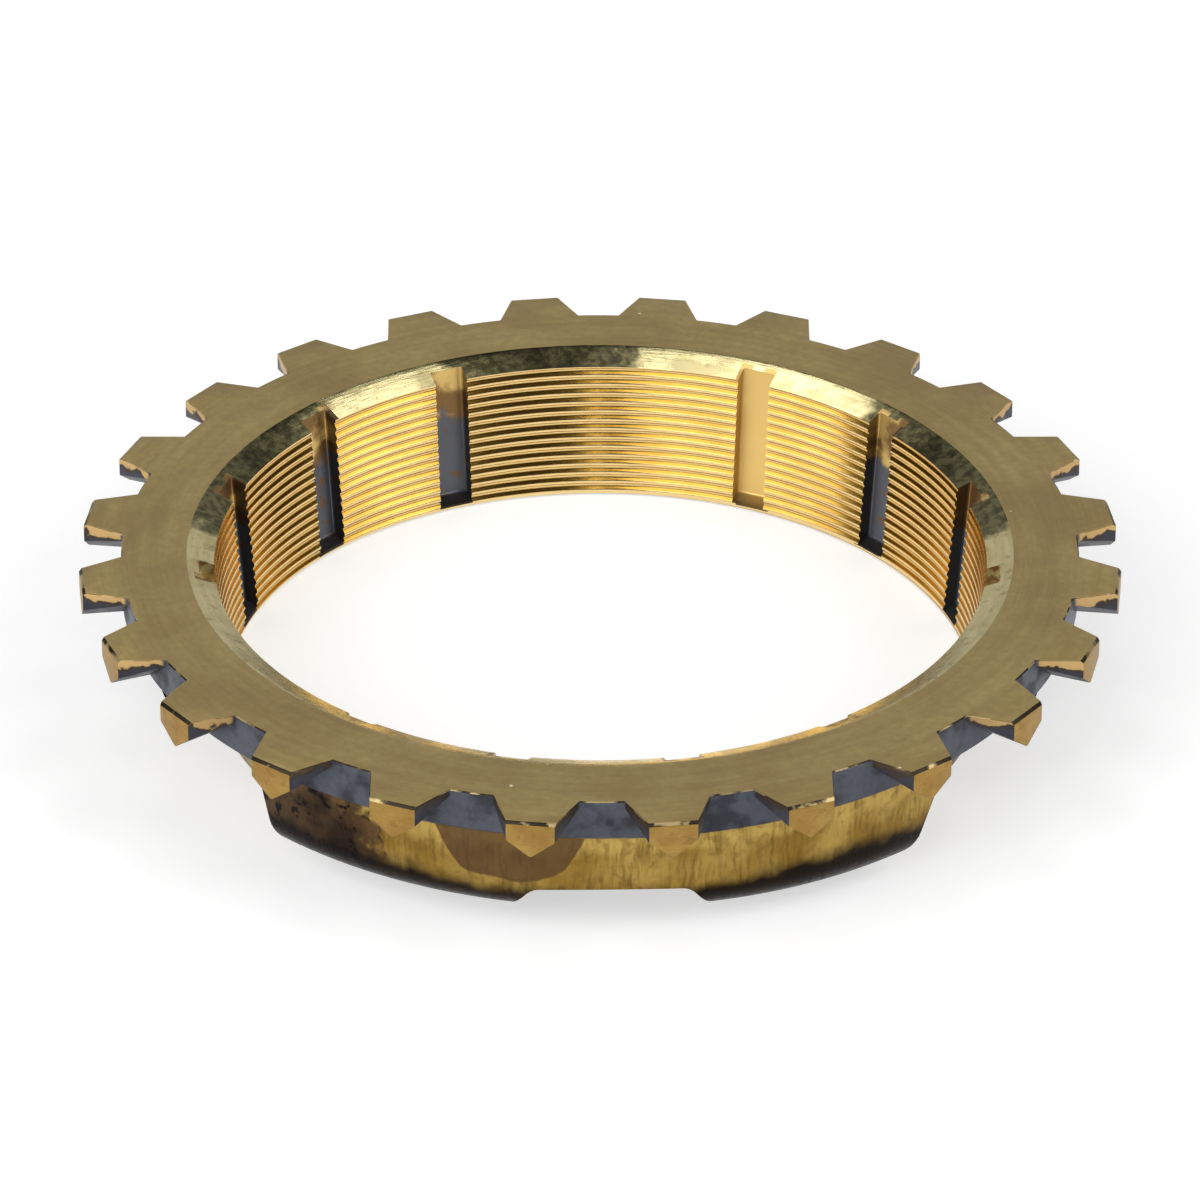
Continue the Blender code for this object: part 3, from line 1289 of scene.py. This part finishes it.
@dataclass(frozen=True)
class RimFinish(Finish):
    """The broken edges: painted near-black as shade, with bare worn patches and bright nicks
    where the teeth have been knocked.
    """

    name: str = "tooth_rim"
    metallic: float = 0.8
    # near-black: painted shade on the edge bevels
    dark: Colour = (0.03, 0.022, 0.012)
    bare: Colour = (0.50, 0.38, 0.18)
    nick: Colour = (1.0, 0.93, 0.78)

    def paint(self, brush: Brush) -> Coat:
        """Paint the finish, as Finish.paint says."""
        worn = brush.stain(3.0, 0.42, 0.05)
        nicks = brush.specks(1.1, 0.16)
        # Painted shade: the bevels are dark except for worn patches of bare brass.
        colour = brush.mix(worn, self.dark, self.bare)
        colour = brush.mix(nicks, colour, self.nick)
        return Coat(colour, brush.blend(nicks, 0.45, 0.25), worn, 0.02)


@dataclass(frozen=True)
class TipFinish(Finish):
    """The tooth tips, clean from turning: warm gold with faint marks."""

    name: str = "tooth_tip"
    metallic: float = 0.8
    gold: Colour = (0.33, 0.19, 0.043)
    pale: Colour = (0.43, 0.27, 0.07)
    brown: Colour = (0.24, 0.125, 0.03)

    def paint(self, brush: Brush) -> Coat:
        """Paint the finish, as Finish.paint says."""
        cloud = brush.stain(2.6, 0.5, 0.18)
        marks = brush.marks(5.0, 10.0)
        spots = brush.stain(1.1, 0.25, 0.06)
        colour = brush.mix(cloud, self.gold, self.pale)
        colour = brush.cover(colour, marks, 0.3, self.brown)
        colour = brush.cover(colour, spots, 0.45, self.brown)
        return Coat(colour, brush.blend(cloud, 0.34, 0.44), marks, 0.006)


@dataclass(frozen=True)
class GapFinish(Finish):
    """Tooth spaces: blue-grey oxide, with a worn gold strip along the upper edge of a flank, and
    painted shade darkening the flanks and the corners by the root.
    """

    name: str = "tooth_gap"
    metallic: float = 0.45
    oxide: Colour = (0.085, 0.092, 0.118)
    # near-black: dark oxide patches, and painted shade on the flanks and in the corners
    deep: Colour = (0.018, 0.018, 0.026)
    gold: Colour = (0.60, 0.39, 0.15)
    brown: Colour = (0.042, 0.022, 0.009)
    strip_depth: float = 1.1

    def paint(self, brush: Brush) -> Coat:
        """Paint the finish, as Finish.paint says."""
        ring = brush.ring()
        cloud = brush.stain(3.5, 0.36, 0.1)
        fine = brush.stain(0.7, 0.5, 0.3)
        wander = brush.wander(0.45, 3.0)
        on_flank = brush.step(ring["Radius"], self.sizes.root_radius + 0.1,
                              self.sizes.root_radius + 0.5)
        aside = brush.step(brush.math("ABSOLUTE", ring["Front"]), 30.0, 58.0)
        line = brush.math("MULTIPLY_ADD", wander, 3.4, self.strip_depth - 2.4)
        line = brush.math("MULTIPLY_ADD", aside, 0.5, line)
        strip = brush.step(brush.math("SUBTRACT", line, ring["Depth"]), -0.1, 0.15)
        strip = brush.both(strip, on_flank)
        edge = brush.step(brush.math("SUBTRACT", line, ring["Depth"]), -0.7, -0.1)
        colour = brush.cover(self.oxide, cloud, 0.8, self.deep)
        colour = brush.cover(colour, fine, 0.25, self.deep)
        # Painted shade: the corner where a flank meets the root wall is darkened.
        corner = brush.between(ring["Radius"], self.sizes.root_radius + 0.02,
                               self.sizes.root_radius + 0.5, 0.4)
        colour = brush.cover(colour, brush.both(corner, on_flank), 0.7, self.deep)
        # Painted shade: the flanks are darkened against the root wall.
        colour = brush.cover(colour, on_flank, 0.75, self.deep)
        colour = brush.cover(colour, brush.both(edge, on_flank), 0.8, self.brown)
        colour = brush.mix(strip, colour, brush.mix(aside, self.brown, self.gold))
        return Coat(colour, brush.blend(cloud, 0.42, 0.55), fine, 0.015)


@dataclass(frozen=True)
class BandFinish(Finish):
    """The lead-in band, turned bright, with fine marks round it, a few dull patches, and mottled
    dark patches at the back and the sides that are painted reflections.
    """

    name: str = "lead_in_band"
    bright: Colour = (0.84, 0.72, 0.38)
    dull: Colour = (0.52, 0.45, 0.20)
    dark: Colour = (0.24, 0.19, 0.07)
    # The next two colours are the mottled colours of the painted dark reflections.
    shade: Colour = (0.17, 0.16, 0.075)
    painted_shade_black: Colour = (0.03, 0.03, 0.015)

    def paint(self, brush: Brush) -> Coat:
        """Paint the finish, as Finish.paint says."""
        broad = brush.marks(3.0, 7.0)
        fine = brush.marks(8.0, 20.0)
        cloud = brush.stain(4.5, 0.42, 0.1)
        spots = brush.stain(1.2, 0.25, 0.06)
        colour = brush.cover(self.bright, broad, 0.4, self.dull)
        colour = brush.cover(colour, cloud, 0.4, self.dull)
        colour = brush.cover(colour, spots, 0.35, self.dark)
        # Painted reflection: dark mottled patches at the back and at both sides stand in for the
        # dark surroundings seen in the band.
        back = brush.ring()["Back"]
        wander = brush.wander(0.4, 3.0)
        turn = brush.math("MULTIPLY_ADD", wander, 10.0, back)
        dark_reflection_behind = brush.between(turn, -17.0, 9.0, 2.0)
        aside = brush.math("MULTIPLY_ADD", wander, 10.0, brush.math("ABSOLUTE", back))
        aside = brush.between(aside, 51.0, 88.0, 3.0)
        reflection_mottle = brush.stain(0.9, 0.5, 0.14)
        shade = brush.mix(reflection_mottle, self.shade, self.painted_shade_black)
        colour = brush.cover(colour, brush.either(dark_reflection_behind, aside), 0.9, shade)
        height = brush.math("ADD", brush.blend(broad, 0.0, 0.6), fine)
        return Coat(colour, brush.blend(cloud, 0.18, 0.28), height, 0.005)


@dataclass(frozen=True)
class ConeFinish(Finish):
    """The thread of the friction cone: polished gold crests, with painted shade just below each
    groove bottom.
    """

    name: str = "friction_cone"
    crest: Colour = (0.88, 0.68, 0.33)
    # The groove colour is painted shade, and the darkest colour mottles it as dirt and painted
    # shade.
    groove_shade: Colour = (0.46, 0.26, 0.04)
    dark_stain_and_shade: Colour = (0.18, 0.08, 0.010)
    shade_centre: float = 0.2
    shade_reach: float = 0.2

    def paint(self, brush: Brush) -> Coat:
        """Paint the finish, as Finish.paint says."""
        ring = brush.ring()
        pitch = self.sizes.pitch
        start = self.sizes.groove_at_back + (self.shade_centre - 0.5) * pitch
        along = brush.math("DIVIDE", brush.math("SUBTRACT", ring["Depth"], start), pitch)
        along = brush.math("MULTIPLY_ADD", ring["Back"], 1.0 / 360.0, along)
        off = brush.math("ABSOLUTE", brush.math("SUBTRACT", brush.math("FRACT", along), 0.5))
        # Painted shade: a band just below each groove bottom, following the helix, takes the
        # darker colour.
        groove_shade_mask = brush.step(off, self.shade_reach + 0.12, self.shade_reach - 0.12)
        cloud = brush.stain(5.0, 0.4, 0.15)
        fine = brush.marks(6.0, 14.0)
        colour = brush.mix(groove_shade_mask, self.crest, self.groove_shade)
        # Cloudy darkening in the grooves: dirt and painted shade.
        groove_dirt_and_shade = brush.both(groove_shade_mask, cloud)
        colour = brush.cover(colour, groove_dirt_and_shade, 0.3, self.dark_stain_and_shade)
        colour = brush.cover(colour, fine, 0.15, self.groove_shade)
        return Coat(colour, brush.blend(groove_shade_mask, 0.15, 0.18), fine, 0.003)


@dataclass(frozen=True)
class SlotFinish(Finish):
    """Oil slots: brass left bare at one place, brown and blue-grey stained elsewhere, with
    painted shade on the walls and towards the lower end.
    """

    name: str = "oil_slot"
    metallic: float = 0.7
    gold: Colour = (0.80, 0.56, 0.19)
    brown: Colour = (0.20, 0.105, 0.035)
    blue: Colour = (0.125, 0.135, 0.16)
    # near-black: painted shade on the slot walls and at the lower end
    painted_shade_black: Colour = (0.02, 0.015, 0.01)
    worn: Colour = (0.52, 0.43, 0.19)
    clean_from: float = 15.0
    clean_to: float = 34.0

    def paint(self, brush: Brush) -> Coat:
        """Paint the finish, as Finish.paint says."""
        ring = brush.ring()
        wander = brush.wander(0.22, 3.0)
        depth = brush.math("MULTIPLY_ADD", wander, 9.0, ring["Depth"])
        low = brush.step(depth, 10.3, 11.6)
        cloud = brush.stain(3.2, 0.62, 0.1)
        spots = brush.stain(1.6, 0.25, 0.06)
        upper = brush.mix(brush.blend(cloud, 0.1, 0.95), self.gold, self.brown)
        lower = brush.cover(self.blue, spots, 0.8, self.brown)
        colour = brush.mix(low, upper, lower)
        # Painted shade: the walls of each slot are darkened, less so near the key slots.
        s = self.sizes
        floor = s.mouth_radius + s.lead_in_depth * s.taper + s.slot_depth
        floor = brush.math("MULTIPLY_ADD", ring["Depth"], -s.taper, floor)
        wall_shade = brush.step(brush.math("SUBTRACT", floor, ring["Radius"]), 0.12, 0.4)
        wall_shade = brush.both(wall_shade, brush.step(brush.math("ABSOLUTE", ring["Back"]), 90.0, 78.0))
        colour = brush.cover(colour, wall_shade, 0.75, self.painted_shade_black)
        clean = brush.between(ring["Back"], self.clean_from, self.clean_to, 1.0)
        keep = brush.both(clean, brush.step(depth, 23.5, 20.5))
        # Where the brass is bare, the walls keep a half-strength painted shade in brown.
        bare = brush.cover(self.gold, wall_shade, 0.5, self.brown)
        colour = brush.mix(keep, colour, bare)
        # Painted shade: darker towards the slot's lower end.
        end = brush.step(ring["Depth"], 17.2, 17.8)
        colour = brush.cover(colour, end, 0.8, self.painted_shade_black)
        aside = brush.step(brush.math("ABSOLUTE", ring["Back"]), 82.0, 90.0)
        upper_end = brush.both(aside, brush.step(ring["Depth"], 3.0, 2.0))
        mark = brush.stain(1.3, 0.45, 0.08)
        worn = brush.mix(mark, self.worn, self.brown)
        colour = brush.mix(upper_end, colour, worn)
        return Coat(colour, brush.blend(low, 0.3, 0.45), cloud, 0.02)


@dataclass(frozen=True)
class PadFinish(Finish):
    """The pads: streaky brass, with oxide patches whose edges are sharp, and the rounded bottom
    edge painted near-black as shade and partly a dark stain.
    """

    name: str = "key_pad"
    metallic: float = 0.75
    specular: float = 0.08
    brass: Colour = (0.26, 0.15, 0.025)
    pale: Colour = (0.56, 0.385, 0.105)
    streak: Colour = (0.13, 0.07, 0.012)
    oxide: Colour = (0.10, 0.052, 0.024)
    # near-black: the dark stain on the left, and painted shade at the bottom edge
    dark_stain_and_shade: Colour = (0.007, 0.0045, 0.004)
    blue: Colour = (0.095, 0.10, 0.125)

    def paint(self, brush: Brush) -> Coat:
        """Paint the finish, as Finish.paint says."""
        ring = brush.ring()
        turn, depth = ring["Front"], ring["Depth"]
        bend = brush.wander(0.3, 2.0)
        across = brush.math("MULTIPLY_ADD", turn, 1.7, brush.math("MULTIPLY", bend, 2.2))
        along = brush.join(across, brush.math("MULTIPLY", depth, 0.22), 0.0)
        streaks = brush.step(brush.noise(along, 1.0, 4.0), 0.38, 0.75)
        streaks = brush.both(streaks, brush.step(bend, 0.3, 0.62))
        cloud = brush.stain(6.0, 0.5, 0.14)
        spots = brush.stain(1.5, 0.32, 0.07)
        ragged = brush.wander(0.35, 4.0)
        colour = brush.cover(self.brass, cloud, 0.6, self.pale)
        top = brush.step(brush.math("MULTIPLY_ADD", ragged, 3.0, depth), 9.6, 7.4)
        colour = brush.cover(colour, top, 0.75, self.pale)
        colour = brush.cover(colour, streaks, 0.75, self.streak)
        colour = brush.cover(colour, spots, 0.4, self.streak)
        away = brush.math("DIVIDE", brush.math("SUBTRACT", turn, -10.8), 7.9)
        away = brush.math("POWER", brush.math("ABSOLUTE", away), 4.0)
        bow = brush.math("MULTIPLY_ADD", away, -4.0, 11.1)
        bow = brush.math("MULTIPLY_ADD", ragged, 1.6, bow)
        patch = brush.step(brush.math("SUBTRACT", bow, depth), 0.55, 0.95)
        left = brush.math("MULTIPLY_ADD", ragged, 14.0, turn)
        side = brush.step(left, -19.0, -21.5)
        colour = brush.cover(colour, patch, 0.85, self.oxide)
        colour = brush.cover(colour, side, 0.9, self.oxide)
        smoke = brush.either(spots, brush.blend(cloud, 0.0, 0.85))
        colour = brush.mix(brush.both(side, smoke), colour, self.dark_stain_and_shade)
        away_from_front = brush.math("ABSOLUTE", turn)
        blued = brush.step(brush.math("MULTIPLY_ADD", ragged, 8.0, away_from_front), 47.0, 53.0)
        colour = brush.cover(colour, blued, 0.85, self.blue)
        # Painted shade, partly a dark stain: the rounded bottom edge goes near-black, reaching
        # higher towards the pad's ends.
        lower = brush.math("MULTIPLY_ADD", ragged, 2.4, depth)
        ends = brush.step(brush.math("ABSOLUTE", brush.math("ADD", turn, 1.0)), 9.0, 24.0)
        ends = brush.both(ends, brush.step(away_from_front, 50.0, 44.0))
        lower = brush.math("MULTIPLY_ADD", ends, 1.1, lower)
        under = brush.step(lower, 12.3, 14.8)
        colour = brush.cover(colour, under, 0.98, self.dark_stain_and_shade)
        height = brush.math("ADD", streaks, spots)
        return Coat(colour, brush.blend(streaks, 0.34, 0.46), height, 0.015)


@dataclass(frozen=True)
class CollarFinish(Finish):
    """The collar's outside, its end and the flange's underside: dull brass with grey oxide."""

    name: str = "collar"
    metallic: float = 0.6
    brass: Colour = (0.42, 0.33, 0.15)
    oxide: Colour = (0.15, 0.15, 0.17)
    brown: Colour = (0.16, 0.10, 0.05)

    def paint(self, brush: Brush) -> Coat:
        """Paint the finish, as Finish.paint says."""
        marks = brush.marks(2.6, 8.0)
        cloud = brush.stain(8.0, 0.5, 0.15)
        spots = brush.stain(1.8, 0.35, 0.08)
        colour = brush.mix(brush.blend(cloud, 0.1, 0.85), self.brass, self.oxide)
        colour = brush.cover(colour, spots, 0.6, self.brown)
        colour = brush.cover(colour, marks, 0.3, self.brown)
        return Coat(colour, brush.blend(cloud, 0.4, 0.52), marks, 0.025)


# ---------------------------------------------------------------- the ring


@dataclass
class SurfaceMap:
    """Tells which kind of surface a face of the ring belongs to."""

    sizes: RingSizes
    level_normal: float = 0.97
    band_normal: float = 0.86
    slack: float = 0.01

    def kind(self, centre: Vector, normal: Vector) -> Surface:
        """Sort one face.

        Args:
            centre: The face's middle, in millimetres.
            normal: The face's normal.

        Returns:
            The kind of surface.
        """
        s = self.sizes
        radius = math.hypot(centre.x, centre.y)
        depth = s.height - centre.z
        outward = (normal.x * centre.x + normal.y * centre.y) / radius
        if radius > s.root_radius - 0.2 and depth < s.flange_thickness + self.slack:
            return self.kind_of_tooth(radius, depth, outward, normal.z)
        if depth < 0.03 and normal.z > self.level_normal:
            return Surface.FACE
        if radius < s.cone_radius(depth) + s.slot_depth + 0.05 and self.in_slot(centre):
            if 0.3 < depth < s.height - 0.45:
                return Surface.SLOT
        if depth < s.lead_in_depth + 0.1 and normal.z > 0.3:
            flat = normal.z > self.band_normal or radius > s.mouth_radius + 0.6
            return Surface.BAND if flat else Surface.CONE
        if radius < s.cone_radius(depth) + s.groove_depth + 0.1 and outward < -0.05:
            return Surface.CONE
        if depth > s.flange_thickness + 0.02 and radius > s.collar_radius(depth) + 0.2:
            return Surface.PAD
        return Surface.COLLAR

    def kind_of_tooth(self, radius: float, depth: float, outward: float, up: float) -> Surface:
        """Sort a face of the teeth or of the flange's rim."""
        s = self.sizes
        if up > self.level_normal:
            return Surface.FACE
        if outward > 0.9 and radius > s.tip_radius - 0.3:
            return Surface.TIP
        if up > 0.1 and (outward > 0.2 or radius < s.root_radius + 0.05):
            return Surface.RIM
        if up < -self.level_normal:
            return Surface.COLLAR
        return Surface.GAP

    def in_slot(self, centre: Vector) -> bool:
        """Tell whether a point is within the width of an oil slot."""
        for direction in self.sizes.oil_slots:
            turn = math.radians(direction)
            along = centre.x * math.cos(turn) + centre.y * math.sin(turn)
            across = -centre.x * math.sin(turn) + centre.y * math.cos(turn)
            if along > 0.0 and abs(across) < self.sizes.slot_width / 2 + self.slack:
                return True
        return False


@dataclass
class SynchronizerRing:
    """The whole ring, as one closed piece."""

    sizes: RingSizes = field(default_factory=RingSizes)
    sharp_angle: float = 20.0

    def build(self) -> bpy.types.Object:
        """Make the ring's shape.

        Returns:
            The ring, in metres.
        """
        ring = TurnedBody(self.sizes).build()
        log.info("turned body: %d faces", len(ring.data.polygons))
        combine(ring, KeyPads(self.sizes).build(), Operation.JOIN)
        log.info("with pads: %d faces", len(ring.data.polygons))
        combine(ring, DogTeeth(self.sizes).build(), Operation.JOIN)
        log.info("with teeth: %d faces", len(ring.data.polygons))
        FrictionCone(self.sizes).cut(ring)
        log.info("with the bore: %d faces", len(ring.data.polygons))
        combine(ring, OilSlots(self.sizes).build(), Operation.CUT)
        log.info("with oil slots: %d faces", len(ring.data.polygons))
        ring.name = "ring_body"
        ring.data.name = "ring_body"
        ring.scale = (MM, MM, MM)
        settle(ring)
        return ring

    def finishes(self) -> list[Finish]:
        """The finishes in the order of Surface."""
        kinds = (TurnedFaceFinish, RimFinish, TipFinish, GapFinish, BandFinish, ConeFinish,
                 SlotFinish, PadFinish, CollarFinish)
        return [kind(self.sizes) for kind in kinds]

    def dress(self, ring: bpy.types.Object) -> None:
        """Shade the ring and give each kind of surface its finish.

        Args:
            ring: The finished shape.
        """
        effects = SharedEffects(self.sizes)
        ring.data.materials.clear()
        for finish in self.finishes():
            ring.data.materials.append(finish.build(effects))
        surfaces = SurfaceMap(self.sizes)
        counts = {kind: 0 for kind in Surface}
        for face in ring.data.polygons:
            kind = surfaces.kind(face.center / MM, face.normal)
            face.material_index = kind.value
            counts[kind] += 1
        take(ring)
        bpy.ops.object.shade_smooth_by_angle(angle=math.radians(self.sharp_angle))
        self.smooth_thread(ring)
        for kind, count in counts.items():
            log.info("%s: %d faces", kind.name.lower(), count)

    def smooth_thread(self, ring: bpy.types.Object) -> None:
        """Keep the thread smooth over its narrow crests and roots.

        Args:
            ring: The ring, with its finishes assigned.
        """
        mesh = bmesh.new()
        mesh.from_mesh(ring.data)
        for edge in mesh.edges:
            if all(face.material_index == Surface.CONE.value for face in edge.link_faces):
                edge.smooth = True
        mesh.to_mesh(ring.data)
        mesh.free()


# ---------------------------------------------------------------- studio


@dataclass(frozen=True)
class Lamp:
    """One soft area lamp, aimed at the ring."""

    name: str
    azimuth: float
    elevation: float
    distance: float
    width: float
    height: float
    brightness: float

    def build(self, target: Vector) -> bpy.types.Object:
        """Hang the lamp.

        Args:
            target: The point that the lamp is aimed at.

        Returns:
            The lamp.
        """
        data = bpy.data.lights.new(self.name, "AREA")
        data.shape = "RECTANGLE"
        data.size = self.width
        data.size_y = self.height
        data.energy = self.brightness * math.pi * self.width * self.height
        lamp = bpy.data.objects.new(self.name, data)
        bpy.context.scene.collection.objects.link(lamp)
        place = target + self.distance * direction_from(self.azimuth, self.elevation)
        lamp.location = place
        lamp.rotation_euler = (target - place).to_track_quat("-Z", "Y").to_euler()
        return lamp


def direction_from(azimuth: float, elevation: float) -> Vector:
    """Direction from the ring, with azimuth 0 at the camera's side and positive to its right.

    Args:
        azimuth: Angle round the ring, in degrees.
        elevation: Angle over the floor, in degrees.

    Returns:
        A unit vector.
    """
    turn, rise = math.radians(azimuth), math.radians(elevation)
    return Vector(
        (math.cos(rise) * math.sin(turn), -math.cos(rise) * math.cos(turn), math.sin(rise))
    )


@dataclass
class Studio:
    """Floor, world, lamps and camera."""

    target: Vector = field(default_factory=lambda: Vector((0.0, 0.0, 0.0183)))
    camera_azimuth: float = -0.27
    camera_elevation: float = 30.519
    camera_distance: float = 0.9215
    lens: float = 238.36
    aim_drop: float = 0.3912
    roll: float = 0.136
    floor_colour: float = 0.55
    floor_glow: float = 0.56
    surround: float = 0.06

    def add_camera(self) -> bpy.types.Object:
        """Put the camera where the photograph was taken from.

        Returns:
            The camera.
        """
        data = bpy.data.cameras.new("camera")
        data.lens = self.lens
        data.sensor_width = 36.0
        data.clip_end = 20.0
        camera = bpy.data.objects.new("camera", data)
        bpy.context.scene.collection.objects.link(camera)
        outward = direction_from(self.camera_azimuth, self.camera_elevation)
        camera.location = self.target + self.camera_distance * outward
        look = (-outward).to_track_quat("-Z", "Y").to_matrix()
        drop = Matrix.Rotation(-math.radians(self.aim_drop), 3, "X")
        roll = Matrix.Rotation(math.radians(self.roll), 3, "Z")
        camera.rotation_euler = (look @ drop @ roll).to_euler()
        bpy.context.scene.camera = camera
        return camera

    def add_floor(self) -> bpy.types.Object:
        """Lay a large pale floor under the ring.

        Returns:
            The floor.
        """
        deselect_all()
        bpy.ops.mesh.primitive_plane_add(size=8.0, location=(0.0, 0.0, -0.0002))
        floor = bpy.context.active_object
        floor.name = "floor"
        material = bpy.data.materials.new("floor")
        material.use_nodes = True
        bench = NodeBench(material.node_tree)
        shader = material.node_tree.nodes["Principled BSDF"]
        shader.inputs["Base Color"].default_value = (*[self.floor_colour] * 3, 1.0)
        shader.inputs["Roughness"].default_value = 0.8
        shader.inputs["Specular IOR Level"].default_value = 0.1
        shader.inputs["Emission Color"].default_value = (1.0, 1.0, 1.0, 1.0)
        path = bench.add("ShaderNodeLightPath")
        seen = bench.either(path.outputs["Is Camera Ray"], path.outputs["Is Glossy Ray"])
        seen = bench.either(seen, path.outputs["Is Transmission Ray"])
        glow = bench.math("MULTIPLY", seen, self.floor_glow)
        bench.feed(shader.inputs["Emission Strength"], glow)
        floor.data.materials.append(material)
        return floor

    def light_world(self) -> None:
        """Make the surroundings a soft grey."""
        world = bpy.data.worlds.new("studio")
        bpy.context.scene.world = world
        world.use_nodes = True
        background = world.node_tree.nodes["Background"]
        background.inputs["Color"].default_value = (1.0, 1.0, 1.0, 1.0)
        background.inputs["Strength"].default_value = self.surround

    def build(self) -> None:
        """Set up the whole studio."""
        self.add_floor()
        self.light_world()
        lamps = [
            Lamp("softbox_left", -46.0, 32.0, 1.2, 1.44, 1.2, 2.9),
            Lamp("softbox_right", 68.0, 32.0, 1.2, 0.69, 1.2, 3.3),
            Lamp("strip_front", 1.0, 48.0, 1.2, 0.05, 1.2, 4.0),
            Lamp("overhead_left", -148.6, 65.0, 1.2, 0.34, 0.62, 2.2),
            Lamp("overhead_right", 141.0, 59.0, 1.2, 0.28, 0.4, 2.2),
            Lamp("backdrop", 180.0, 24.0, 1.6, 2.6, 1.1, 0.44),
        ]
        for lamp in lamps:
            lamp.build(self.target)
        self.add_camera()
        bpy.context.scene.view_settings.view_transform = "Standard"


def main() -> None:
    """Build the ring, dress it and light it."""
    logging.basicConfig(level=logging.INFO, format="%(name)s: %(message)s")
    maker = SynchronizerRing()
    ring = maker.build()
    maker.dress(ring)
    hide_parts("synchronizer_ring")
    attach(ring, "root")
    log.info("%s: %d faces", ring.name, len(ring.data.polygons))
    Studio().build()


if __name__ == "__main__":
    main()
